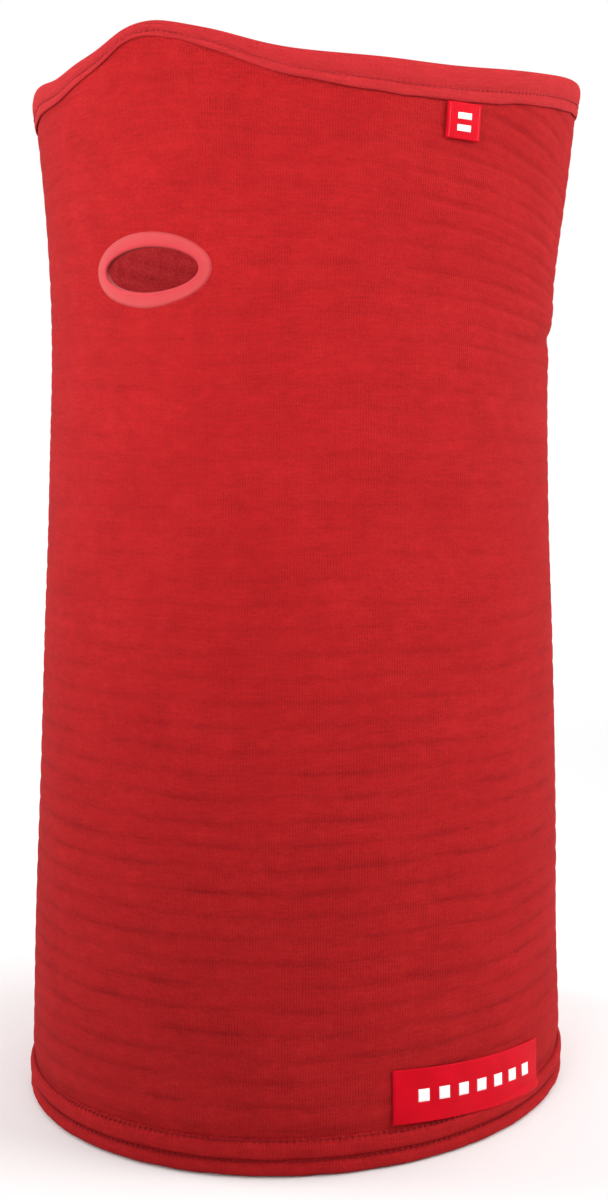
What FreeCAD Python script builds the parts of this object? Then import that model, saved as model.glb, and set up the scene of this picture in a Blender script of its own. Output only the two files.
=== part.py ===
import FreeCAD, Part
import math
import os

# Neck gaiter: a knitted grid-fleece tube worn round the neck and pulled up over
# the nose. Own frame: +Z up, wearer looks along -Y (nose peak and breathing
# hole at -Y), wearer's left is +X, origin on the plane the hem stands on, in
# the middle of the gaiter's outer dimensions.

# ---- driving dimensions, mm ----
wall = 1.6                 # grid fleece, one layer
hem_turn = 13.0            # height of the turned, doubled hem
hem_row_low = 4.6          # lower row of the hem's twin-needle coverstitch
hem_row_high = 10.2        # upper row, 5.6 mm gauge
hem_round = 0.9            # rounding of the fold at the hem's lower edge
front_back = 1.0488        # oval: front-to-back half axis over mean radius
side_side = 0.9535         # oval: left-to-right half axis over mean radius

centre_shift = -3.57       # puts the origin midway between nose and nape

# (height, mean radius, offset of the centre towards the nape)
section_table = [
    (-25.0, 87.9, 0.0), (0.0, 87.3, 0.0), (21.0, 86.6, 0.1), (48.0, 85.5, 0.2),
    (73.0, 85.0, 0.7), (99.0, 84.3, 1.3), (125.0, 83.3, 1.6), (150.0, 82.2, 1.7),
    (175.0, 80.9, 1.6), (200.0, 80.0, 1.6), (224.0, 79.5, 2.0), (249.0, 80.3, 3.0),
    (273.0, 82.5, 4.4), (297.0, 85.6, 5.5), (320.0, 88.4, 6.2), (345.0, 90.9, 6.6),
]

sections = [(z, r, c + centre_shift) for z, r, c in section_table]

# height of the upper edge by angle from the nose (degrees), same on both sides
top_edge = [
    (0, 315.0), (4, 314.6), (8, 313.2), (12, 311.4), (16, 309.7), (20, 308.2),
    (25, 306.8), (30, 305.9), (37, 305.2), (45, 304.8), (55, 304.4), (65, 304.9),
    (75, 306.1), (85, 307.6), (95, 309.2), (110, 311.3), (130, 313.2),
    (150, 314.3), (165, 314.8), (180, 315.0),
]
# visible depth of the binding by angle from the nose
binding_depth = [
    (0, 3.9), (4, 4.0), (8, 4.35), (12, 4.8), (16, 5.3), (20, 5.8), (25, 6.5),
    (30, 7.2), (37, 8.1), (45, 8.8), (55, 9.2), (65, 9.3), (75, 9.3), (85, 9.3),
    (95, 9.3), (110, 9.3), (130, 9.3), (150, 9.3), (165, 9.3), (180, 9.3),
]
binding_skin = 0.83        # binding fabric
binding_gap = 0.12         # between the binding and the panel it wraps
binding_top = 0.95         # binding over the panel's raw edge
stitch_at = 0.66           # stitch row, as a share of the binding's depth

thread_off = 0.02
thread_thick = 0.28
thread_half = 0.18         # half height of a needle-thread row
looper_half = 2.9          # half height of the looper cover inside the hem
looper_thick = 0.3

hole_z = 249.6             # centre of the breathing hole
hole_half = (15.5, 6.2)    # clear opening, half width and half height
ring_half = (19.0, 10.3)   # outer flange of the bonded ring
ring_back_half = (18.2, 9.2)
ring_lip = 0.5             # ring's lip through the panel
ring_gap = 0.06
ring_thick = 0.36
hole_power = (1.86, 2.05)  # slightly pointed oval

seam_half = 2.6            # half width of the flatlock seam at the nape

top_label_at = 63.6        # degrees from the nose towards wearer's left
top_label_size = (12.0, 9.8, 0.5)
top_label_standoff = 0.5

hem_label_span = (50.8, 90.2)      # degrees
hem_label_low = (9.9, 8.9)         # lower edge height at both ends
hem_label_tall = 15.6
hem_label_thick = 0.44

care_size = (24.0, 34.0, 0.5)
care_low = 19.0
care_standoff = 1.0
care_lean = 14.0           # degrees in from the tangent, to clear the curved wall

BIG = 400.0


def interp(table, deg):
    a = abs((deg + 180.0) % 360.0 - 180.0)
    xs = [p[0] for p in table]
    ys = [p[1] for p in table]
    n = len(xs)
    h = [xs[i + 1] - xs[i] for i in range(n - 1)]
    d = [(ys[i + 1] - ys[i]) / h[i] for i in range(n - 1)]
    # monotone slopes, level at the nose and at the nape
    m = [0.0] * n
    for i in range(1, n - 1):
        if d[i - 1] * d[i] > 0:
            w1, w2 = 2 * h[i] + h[i - 1], h[i] + 2 * h[i - 1]
            m[i] = (w1 + w2) / (w1 / d[i - 1] + w2 / d[i])
    for i in range(n - 1):
        if a <= xs[i + 1] + 1e-9:
            t = (a - xs[i]) / h[i]
            return (ys[i] * (1 + 2 * t) * (1 - t) ** 2 + h[i] * m[i] * t * (1 - t) ** 2
                    + ys[i + 1] * t * t * (3 - 2 * t) + h[i] * m[i + 1] * t * t * (t - 1))
    return ys[-1]


def z_top(deg):
    return interp(top_edge, deg)


def z_bind(deg):
    return z_top(deg) - interp(binding_depth, deg)


def z_stitch(deg):
    return z_top(deg) - stitch_at * interp(binding_depth, deg)


def full(off):
    """The tube's solid at a given offset from the fabric's outer surface."""
    wires = []
    for z, r, cy in sections:
        a = front_back * r + off
        b = side_side * r + off
        e = Part.Ellipse(FreeCAD.Vector(0, cy + a, z), FreeCAD.Vector(-b, cy, z),
                         FreeCAD.Vector(0, cy, z))
        wires.append(Part.Wire([e.toShape()]))
    return Part.makeLoft(wires, True, False)


shells = {}


def tube(off):
    if off not in shells:
        shells[off] = full(off)
    return shells[off]


def layer(outer, inner):
    return tube(outer).cut(tube(inner))


profile = []               # (height, half axis along Y, half axis along X, centre)
skin = [f for f in tube(0.0).Faces if "BSpline" in f.Surface.TypeId][0].Surface
for i in range(1201):
    p_back = skin.value(0.0, i / 1200.0)
    p_front = skin.value(0.5, i / 1200.0)
    p_side = skin.value(0.25, i / 1200.0)
    profile.append((p_back.z, (p_back.y - p_front.y) / 2, abs(p_side.x),
                    (p_back.y + p_front.y) / 2))


def section_at(z):
    lo, hi = 0, len(profile) - 1
    while hi - lo > 1:
        mid = (lo + hi) // 2
        if profile[mid][0] <= z:
            lo = mid
        else:
            hi = mid
    p, q = profile[lo], profile[hi]
    t = (z - p[0]) / (q[0] - p[0])
    return tuple(p[k] + (q[k] - p[k]) * t for k in (1, 2, 3))


def surface_point(deg, z, off):
    t = math.radians(deg)
    a, b, cy = section_at(z)
    return FreeCAD.Vector((b + off) * math.sin(t), cy - (a + off) * math.cos(t), z)


def spline(pts, closed):
    c = Part.BSplineCurve()
    n = len(pts)
    if closed:
        c.interpolate(Points=pts, PeriodicFlag=True,
                      Parameters=[i / n for i in range(n + 1)])
    else:
        c.interpolate(Points=pts, Parameters=[i / (n - 1) for i in range(n)])
    return c.toShape()


def strip(corners, span=None):
    """Solid that runs round the tube. corners: (offset, height) going round its
    cross section, where height is a number or a function of the angle."""
    if span is None:
        angles = [180.0 + 4.0 * i for i in range(90)]
    else:
        k = max(6, int((span[1] - span[0]) / 3.0))
        angles = [span[0] + (span[1] - span[0]) * i / k for i in range(k + 1)]
    rails, ends = [], []
    for off, height in corners:
        pts = [surface_point(d, height(d) if callable(height) else height, off)
               for d in angles]
        rails.append(spline(pts, span is None))
        ends.append((pts[0], pts[-1]))
    n = len(rails)
    faces = [Part.makeRuledSurface(rails[i], rails[(i + 1) % n]) for i in range(n)]
    if span is not None:
        for k in (0, 1):
            e1 = Part.makeLine(ends[0][k], ends[1][k])
            e2 = Part.makeLine(ends[3][k], ends[2][k])
            faces.append(Part.makeRuledSurface(e1, e2))
    shell = Part.Shell(faces)
    if not shell.isClosed():
        shell = Part.makeShell(Part.makeCompound(faces).Faces)
        shell.sewShape()
    solid = Part.Solid(shell)
    if solid.Volume < 0:
        solid.reverse()
    return solid


def rect(o1, o0, z0, z1, span=None):
    return strip([(o1, z0), (o1, z1), (o0, z1), (o0, z0)], span)


def curve(angles, height, scale, closed):
    pts = []
    for deg in angles:
        t = math.radians(deg)
        z = height(deg)
        a, b, cy = section_at(z)
        pts.append(FreeCAD.Vector(b * scale * math.sin(t), cy - a * scale * math.cos(t), z))
    return spline(pts, closed)


def above(height, rise=90.0, span=None):
    """Everything over a curve that runs round the tube, as a thick ruled ribbon."""
    if span is None:
        angles = [180.0 + 4.0 * i for i in range(90)]
        closed = True
    else:
        k = max(4, int((span[1] - span[0]) / 3.0))
        angles = [span[0] + (span[1] - span[0]) * i / k for i in range(k + 1)]
        closed = False
    lo = curve(angles, height, 0.80, closed)
    hi = curve(angles, height, 1.20, closed)
    face = Part.makeRuledSurface(lo, hi)
    s = face.extrude(FreeCAD.Vector(0, 0, rise))
    if s.ShapeType != "Solid":
        s = Part.Solid(s) if s.ShapeType == "Shell" else s
    return s


def slab(z0, z1):
    return Part.makeBox(BIG, BIG, z1 - z0, FreeCAD.Vector(-BIG / 2, -BIG / 2, z0))


def oval(half):
    """Upright prism through the front wall with the breathing hole's outline."""
    pts = []
    n = 48
    for i in range(n):
        t = 2 * math.pi * i / n
        c, s = math.cos(t), math.sin(t)
        x = half[0] * math.copysign(abs(c) ** (2.0 / hole_power[0]), c)
        z = half[1] * math.copysign(abs(s) ** (2.0 / hole_power[1]), s)
        pts.append(FreeCAD.Vector(x, -130.0, hole_z + z))
    b = Part.BSplineCurve()
    b.interpolate(Points=pts, PeriodicFlag=True)
    f = Part.Face(Part.Wire([b.toShape()]))
    return f.extrude(FreeCAD.Vector(0, 130.0, 0))


def one(shape):
    """Clean result as its solids only."""
    s = shape.Solids
    if len(s) == 1:
        return s[0]
    return Part.makeCompound(s)


def grown(half, d):
    return (half[0] + d, half[1] + d)


# ---- knitted panel: tube with a turned hem ----
edge_low = above(lambda d: z_top(d) - binding_top - binding_gap - 0.03)
panel = tube(0.0).common(slab(0.0, 340.0)).cut(edge_low)
panel = panel.cut(tube(-wall).common(slab(hem_turn, 360.0)))
panel = panel.cut(tube(-2 * wall).common(slab(-30.0, hem_turn + 0.001)))
panel = panel.cut(oval(grown(hole_half, ring_lip + ring_gap)))
panel = one(panel.removeSplitter())
low = [e for e in panel.Edges if e.BoundBox.ZMax < 0.01]
try:
    rounded = panel.makeFillet(hem_round, low)
    if rounded.isValid() and len(rounded.Solids) == 1:
        panel = rounded.Solids[0]
except Exception:
    pass

# ---- binding folded over the upper edge, rounded along its top ----
over = binding_gap + binding_skin
lift = binding_top


def at_top(d):
    return lambda deg: z_top(deg) - d


binding = strip([
    (over, z_bind), (over, at_top(0.9)), (over - 0.3, at_top(0.3)), (over - 1.0, z_top),
    (-wall - over + 1.0, z_top), (-wall - over + 0.3, at_top(0.3)),
    (-wall - over, at_top(0.9)), (-wall - over, z_bind),
    (-wall - binding_gap, z_bind), (-wall - binding_gap, at_top(lift)),
    (binding_gap, at_top(lift)), (binding_gap, z_bind)])


def around(centre, d):
    return lambda deg: centre(deg) + d


binding_needle = rect(over + thread_off + 0.24, over + thread_off,
                      around(z_stitch, -thread_half), around(z_stitch, thread_half))
binding_looper = rect(-wall - over - thread_off, -wall - over - thread_off - 0.26,
                      around(z_stitch, -1.1), around(z_stitch, 1.1))

# ---- bonded ring gripping the edge of the breathing hole ----
clear = oval(hole_half)
flange = layer(ring_gap + ring_thick, ring_gap).common(oval(ring_half))
back = layer(-wall - ring_gap, -wall - ring_gap - ring_thick).common(oval(ring_back_half))
lip = layer(ring_gap + ring_thick, -wall - ring_gap - ring_thick).common(
    oval(grown(hole_half, ring_lip)))
ring = one(flange.fuse(back).fuse(lip).cut(clear).removeSplitter())

# ---- hem coverstitch; its upper row runs over the lower margin of the hem label ----
l0, l1 = hem_label_span
lab_top = 0.06 + hem_label_thick
beside = rect(thread_off + thread_thick, thread_off, hem_row_high - thread_half,
              hem_row_high + thread_half, (l1 + 0.4, l0 - 0.4 + 360.0))
over_label = rect(lab_top + 0.02 + thread_thick, lab_top + 0.02, hem_row_high - thread_half,
                  hem_row_high + thread_half, (l0 - 0.3, l1 + 0.3))
hem_high = Part.makeCompound([beside, over_label])
hem_low_row = rect(thread_off + thread_thick, thread_off, hem_row_low - thread_half,
                   hem_row_low + thread_half)
hem_mid = 0.5 * (hem_row_low + hem_row_high)
hem_looper = rect(-2 * wall - thread_off, -2 * wall - thread_off - looper_thick,
                  hem_mid - looper_half, hem_mid + looper_half)

# ---- label sewn flat on the hem at the wearer's left ----
slope = (hem_label_low[1] - hem_label_low[0]) / (l1 - l0)


def label_low(deg):
    return hem_label_low[0] + slope * (deg - l0)


hem_label = rect(lab_top, 0.06, label_low, lambda d: label_low(d) + hem_label_tall,
                 hem_label_span)

# ---- flatlock seam at the nape ----


def nape(o1, o0, half, z0, margin):
    length = z_bind(180.0) - margin - z0
    box = Part.makeBox(2 * half, 200.0, length, FreeCAD.Vector(-half, 0.0, z0))
    return one(layer(o1, o0).common(box))


seam_cover = nape(thread_off + 0.3, thread_off, seam_half, hem_row_high + 0.5, 0.3)
seam_back = nape(-wall - thread_off, -wall - thread_off - 0.3, seam_half, hem_turn + 0.6, 0.3)


def on_wall(deg, z, off):
    """Point and outward direction on the tube at one angle and height."""
    t = math.radians(deg)
    a, b, cy = section_at(z)
    n = FreeCAD.Vector(math.sin(t) / b, -math.cos(t) / a, 0).normalize()
    return FreeCAD.Vector(b * math.sin(t), cy - a * math.cos(t), z) + n * off, n


# flat tab, hung from the binding's lower edge and lying along the flared wall
w, h, th = top_label_size
z_hang = z_bind(top_label_at) - 0.45
p_up, n_up = on_wall(top_label_at, z_hang, top_label_standoff)
p_dn, n_dn = on_wall(top_label_at, z_hang - h, top_label_standoff)
down = (p_dn - p_up).normalize()
side = FreeCAD.Vector(0, 0, 1).cross(n_up).normalize()
out = down.cross(side)
if out.dot(n_up) < 0:
    out = out * -1
c0 = p_up - side * (w / 2)
quad = [c0, c0 + side * w, c0 + side * w + down * h, c0 + down * h]
tab = Part.Face(Part.makePolygon(quad + [quad[0]])).extrude(out * th)
top_label = tab.makeFillet(0.2, [e for e in tab.Edges if e.Length < 0.6])
hinge_tab = p_up + out * th

# woven care label, sewn into the nape seam by one upright edge, inside the tube
cw, ch, ct = care_size
p_c, n_c = on_wall(180.0, care_low + ch / 2, -wall - care_standoff)
lean = math.radians(care_lean)
along = FreeCAD.Vector(math.cos(lean), -math.sin(lean), 0)
inward = FreeCAD.Vector(-math.sin(lean), -math.cos(lean), 0)
q0 = FreeCAD.Vector(0, p_c.y, care_low)
quad = [q0, q0 + along * cw, q0 + along * cw + FreeCAD.Vector(0, 0, ch),
        q0 + FreeCAD.Vector(0, 0, ch)]
care_label = Part.Face(Part.makePolygon(quad + [quad[0]])).extrude(inward * ct)

nodes = {
    "knit_tube_panel": panel,
    "top_edge_binding": binding,
    "binding_needle_thread": binding_needle,
    "binding_looper_thread": binding_looper,
    "breathing_hole_ring": ring,
    "hem_upper_needle_thread": hem_high,
    "hem_lower_needle_thread": hem_low_row,
    "hem_looper_thread": hem_looper,
    "hem_label": hem_label,
    "top_label_tab": top_label,
    "nape_seam_cover_thread": seam_cover,
    "nape_seam_looper_thread": seam_back,
    "care_label": care_label,
}

os.makedirs("parts", exist_ok=True)
for name, shape in nodes.items():
    shape.exportStep("parts/%s.step" % name)

for name, shape in nodes.items():
    b = shape.BoundBox
    print("%-26s solids %d valid %s vol %.2f  x %.2f..%.2f y %.2f..%.2f z %.2f..%.2f" % (
        name, len(shape.Solids), shape.isValid(), shape.Volume,
        b.XMin, b.XMax, b.YMin, b.YMax, b.ZMin, b.ZMax))
print("top label hinge", hinge_tab, "side", side, "down", down, "out", out)
print("care label hinge", q0 + inward * (ct / 2))
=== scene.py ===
import math

import bmesh
import bpy
import numpy as np
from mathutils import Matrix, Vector, noise


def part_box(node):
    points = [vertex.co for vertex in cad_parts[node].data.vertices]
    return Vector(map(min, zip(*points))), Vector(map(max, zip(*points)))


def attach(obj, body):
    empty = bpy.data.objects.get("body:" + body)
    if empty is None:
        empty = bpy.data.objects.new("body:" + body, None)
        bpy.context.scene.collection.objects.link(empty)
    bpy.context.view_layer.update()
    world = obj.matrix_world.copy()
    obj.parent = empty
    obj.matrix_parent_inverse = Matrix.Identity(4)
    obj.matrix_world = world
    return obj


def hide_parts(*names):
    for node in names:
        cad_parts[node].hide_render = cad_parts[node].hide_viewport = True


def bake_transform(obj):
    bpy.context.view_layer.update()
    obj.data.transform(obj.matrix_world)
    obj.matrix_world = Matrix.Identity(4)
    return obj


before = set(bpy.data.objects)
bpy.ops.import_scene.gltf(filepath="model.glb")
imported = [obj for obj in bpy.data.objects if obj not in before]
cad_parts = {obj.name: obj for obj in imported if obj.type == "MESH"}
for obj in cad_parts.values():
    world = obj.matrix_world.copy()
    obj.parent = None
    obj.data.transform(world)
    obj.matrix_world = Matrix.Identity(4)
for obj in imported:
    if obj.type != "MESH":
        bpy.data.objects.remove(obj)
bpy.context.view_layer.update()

# ------------------------------------------------------------------ the tube
MM = 0.001
SHIFT = -3.57
FRONT_BACK, SIDE_SIDE = 1.0488, 0.9535
SECTIONS = [
    (-25.0, 87.9, 0.0), (0.0, 87.3, 0.0), (21.0, 86.6, 0.1), (48.0, 85.5, 0.2),
    (73.0, 85.0, 0.7), (99.0, 84.3, 1.3), (125.0, 83.3, 1.6), (150.0, 82.2, 1.7),
    (175.0, 80.9, 1.6), (200.0, 80.0, 1.6), (224.0, 79.5, 2.0), (249.0, 80.3, 3.0),
    (273.0, 82.4, 4.4), (297.0, 85.0, 5.5), (320.0, 87.2, 6.2), (345.0, 89.3, 6.6),
]
TOP_EDGE = [
    (0, 315.0), (4, 314.6), (8, 313.2), (12, 311.4), (16, 309.7), (20, 308.2),
    (25, 306.8), (30, 305.9), (37, 305.2), (45, 304.8), (55, 304.4), (65, 304.9),
    (75, 306.1), (85, 307.6), (95, 309.2), (110, 311.3), (130, 313.2),
    (150, 314.3), (165, 314.8), (180, 315.0),
]
BIND_DEPTH = [
    (0, 3.9), (4, 4.0), (8, 4.35), (12, 4.8), (16, 5.3), (20, 5.8), (25, 6.5),
    (30, 7.2), (37, 8.1), (45, 8.8), (55, 9.2), (65, 9.3), (180, 9.3),
]
WALL = 1.6
ROW_LOW, ROW_HIGH = 4.6, 10.2
RIDGE = 6.6                # spacing of the fleece's crosswise ridges
WALE = 0.8                 # spacing of the knit's upright wales
STITCH = 1.75              # stitch length
HOLE = (15.5, 6.2)
RING = (19.0, 10.3)
RING_BACK = (18.2, 9.2)
HOLE_POWER = (1.86, 2.05)
HOLE_Z = 249.6
PHI = math.radians(30.5)   # camera's angle towards the wearer's left

rng = np.random.default_rng(7)


def spline_table(xs, ys):
    """natural cubic through (xs, ys), as a function of an array"""
    xs, ys = np.array(xs, float), np.array(ys, float)
    n = len(xs)
    h = np.diff(xs)
    A = np.zeros((n, n))
    r = np.zeros(n)
    A[0, 0] = A[-1, -1] = 1.0
    for i in range(1, n - 1):
        A[i, i - 1], A[i, i], A[i, i + 1] = h[i - 1], 2 * (h[i - 1] + h[i]), h[i]
        r[i] = 6 * ((ys[i + 1] - ys[i]) / h[i] - (ys[i] - ys[i - 1]) / h[i - 1])
    m = np.linalg.solve(A, r)

    def f(x):
        x = np.asarray(x, float)
        i = np.clip(np.searchsorted(xs, x) - 1, 0, n - 2)
        t = x - xs[i]
        hh = h[i]
        b = (ys[i + 1] - ys[i]) / hh - hh * (2 * m[i] + m[i + 1]) / 6
        return ys[i] + t * (b + t * (m[i] / 2 + t * (m[i + 1] - m[i]) / (6 * hh)))

    return f


radius = spline_table([s[0] for s in SECTIONS], [s[1] for s in SECTIONS])
centre = spline_table([s[0] for s in SECTIONS], [s[2] + SHIFT for s in SECTIONS])


def even_table(table):
    """symmetric round the tube: mirror the table so that it is level at both ends"""
    xs = [p[0] for p in table]
    ys = [p[1] for p in table]
    lx = [-x for x in xs[4:0:-1]] + xs + [360 - x for x in xs[-2:-5:-1]]
    ly = ys[4:0:-1] + ys + ys[-2:-5:-1]
    f = spline_table(lx, ly)
    return lambda deg: f(np.abs((np.asarray(deg, float) + 180.0) % 360.0 - 180.0))


top_level = even_table(TOP_EDGE)


def z_top(deg):
    """height of the top edge; as it stands here it dips a little on the wearer's right of the nose"""
    a = (np.asarray(deg, float) + 180.0) % 360.0 - 180.0
    return (top_level(deg) - 3.2 * np.exp(-((a + 22.0) / 13.0) ** 2) + 1.3 * np.exp(-((a - 17.0) / 9.0) ** 2)
            - 0.2 * np.exp(-((a - 61.0) / 12.0) ** 2)
            + 1.2 * np.exp(-((a + 62.0) / 16.0) ** 2)
            - 1.34 * np.exp(-((a + 9.0) / 7.0) ** 2)
            + 1.53 * np.exp(-((a + 20.0) / 8.0) ** 2)
            + 1.61 * np.exp(-((a + 34.0) / 9.0) ** 2)
            - 0.13 * np.exp(-((a + 50.0) / 14.0) ** 2))


depth = even_table(BIND_DEPTH)


def smooth(e0, e1, x):
    t = np.clip((np.asarray(x, float) - e0) / (e1 - e0), 0, 1)
    return t * t * (3 - 2 * t)


def wave_noise(deg, z, size, seed, octaves=3):
    """smooth noise on the tube, about -1 to 1, periodic round it; size in mm"""
    deg, z = np.broadcast_arrays(np.asarray(deg, float), np.asarray(z, float))
    out = np.zeros(deg.shape)
    g = np.random.default_rng(seed)
    for o in range(octaves):
        s = size / 2 ** o
        amp = 0.55 ** o
        for _ in range(7):
            k = max(1, round(2 * math.pi * 82.0 / s * g.uniform(0.5, 1.1)))
            kz = 2 * math.pi / s * g.uniform(-1.0, 1.0)
            out += amp * np.sin(np.radians(deg) * k + z * kz + g.uniform(0, 6.28)) / 3.2
    return out


def dent(deg, z):
    """where the cloth departs from the plain form, mm outwards"""
    d = 0.42 * wave_noise(deg, z, 150.0, 3, 2) * smooth(12, 60, z) * smooth(306, 270, z)
    a = np.abs((np.asarray(deg, float) + 180.0) % 360.0 - 180.0)
    # a shallow crease at the back of each side, where the flare starts
    crease = np.exp(-((z - (233.5 + 0.12 * (a - 112))) / 2.6) ** 2) * smooth(70, 98, a) * smooth(158, 124, a)
    crease2 = np.exp(-((z - (241.5 + 0.10 * (a - 112))) / 5.5) ** 2) * smooth(76, 100, a) * smooth(150, 124, a)
    return d - 0.85 * crease + 0.55 * crease2


def place(deg, z, off):
    """points in metres on the tube, off mm outside its plain surface"""
    t = np.radians(deg)
    r, cy = radius(z), centre(z)
    return np.stack([
        (SIDE_SIDE * r + off) * np.sin(t) * MM,
        (cy - (FRONT_BACK * r + off) * np.cos(t)) * MM,
        np.broadcast_to(z, np.shape(t)) * MM], -1)


def outward(deg, z):
    t = np.radians(deg)
    r = radius(z)
    n = np.stack([np.sin(t) / (SIDE_SIDE * r), -np.cos(t) / (FRONT_BACK * r), np.zeros(np.shape(t))], -1)
    return n / np.linalg.norm(n, axis=-1, keepdims=True)


def arc(deg):
    """arc length round the tube in mm, at its middle"""
    return np.asarray(deg, float) / 360.0 * 2 * math.pi * 82.0


def course(deg, z):
    """height along the cloth: its ridges sag towards the nape near the top"""
    a = np.abs((np.asarray(deg, float) + 180.0) % 360.0 - 180.0)
    sag = 23.0 * smooth(42, 150, a) * smooth(176, 292, z)
    nose = -2.6 * np.exp(-(a / 26.0) ** 2) * smooth(250, 306, z)
    wob = 0.55 * wave_noise(deg, z, 95.0, 11, 2)
    return z + sag + nose + wob


def ridges(deg, z):
    v = course(deg, z)
    p = v / RIDGE
    groove = np.abs(np.sin(math.pi * p)) ** 0.62 - 0.72
    half = np.abs(np.sin(2 * math.pi * p + 0.4)) ** 0.8 - 0.66
    strength = 0.62 + 0.38 * wave_noise(deg, z, 44.0, 5, 3)
    second = np.clip(0.20 + 0.34 * wave_noise(deg, z, 60.0, 21, 3), 0, 0.6)
    a = np.abs((np.asarray(deg, float) + 180.0) % 360.0 - 180.0)
    side = 1.0 + 1.3 * smooth(38, 80, a) * smooth(200, 255, z) + 0.9 * smooth(130, 55, z)
    second = second + 1.1 * smooth(42, 80, a) * smooth(205, 255, z)
    return 0.26 * side * np.clip(strength, 0.15, 1.3) * groove + 0.16 * second * half


# ------------------------------------------------------------- mesh helpers
def new_mesh(name, points, faces, uvs=None, smooth_shade=True):
    """points (n,3); faces list/array of equal length rows; uvs per face corner"""
    faces = np.asarray(faces, np.int32)
    k = faces.shape[1]
    me = bpy.data.meshes.new(name)
    me.vertices.add(len(points))
    me.vertices.foreach_set("co", np.asarray(points, np.float32).ravel())
    me.loops.add(faces.size)
    me.loops.foreach_set("vertex_index", faces.ravel())
    me.polygons.add(len(faces))
    me.polygons.foreach_set("loop_start", np.arange(0, faces.size, k, dtype=np.int32))
    if uvs is not None:
        layer = me.uv_layers.new(name="UVMap")
        layer.data.foreach_set("uv", np.asarray(uvs, np.float32).ravel())
    me.polygons.foreach_set("use_smooth", np.full(len(faces), smooth_shade))
    me.update(calc_edges=True)
    me.validate()
    ob = bpy.data.objects.new(name, me)
    bpy.context.collection.objects.link(ob)
    return ob


def grid_faces(rows, cols, wrap_cols=True, wrap_rows=False, flip=False):
    r = np.arange(rows if wrap_rows else rows - 1)
    c = np.arange(cols if wrap_cols else cols - 1)
    R, C = np.meshgrid(r, c, indexing="ij")
    R1, C1 = (R + 1) % rows, (C + 1) % cols
    f = np.stack([R * cols + C, R * cols + C1, R1 * cols + C1, R1 * cols + C], -1).reshape(-1, 4)
    return f[:, ::-1].copy() if flip else f


def corner_uv(faces, u, v, cols, wrap=None):
    """uv per corner from per-point u, v (flat arrays), mending the wrap round the tube"""
    U, V = u[faces], v[faces]
    if wrap:
        lo = U.max(1, keepdims=True) - U > wrap * 0.5
        U = np.where(lo, U + wrap, U)
    return np.stack([U, V], -1)


def join_parts(parts):
    """parts: list of (points, faces, uv)"""
    pts, fcs, uvs, base = [], [], [], 0
    for p, f, uv in parts:
        pts.append(p)
        fcs.append(np.asarray(f) + base)
        uvs.append(uv.reshape(-1, 2))
        base += len(p)
    return np.concatenate(pts), np.concatenate(fcs), np.concatenate(uvs)


def oval_level(x, z, half):
    """below 1 inside the oval round the breathing hole"""
    return (np.abs(x) / half[0]) ** HOLE_POWER[0] + (np.abs(z - HOLE_Z) / half[1]) ** HOLE_POWER[1]


def front_point(x, z, off):
    """point on the front wall at sideways distance x, mm in, metres out"""
    r, cy = radius(z), centre(z)
    b, a = SIDE_SIDE * r + off, FRONT_BACK * r + off
    y = cy - a * np.sqrt(np.clip(1 - (x / b) ** 2, 0, 1))
    return np.stack([x * MM, y * MM, z * MM], -1)


# ------------------------------------------------------------- materials
def lin(r, g, b):
    def f(c):
        c /= 255.0
        return c / 12.92 if c <= 0.04045 else ((c + 0.055) / 1.055) ** 2.4
    return (f(r), f(g), f(b), 1.0)


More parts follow.
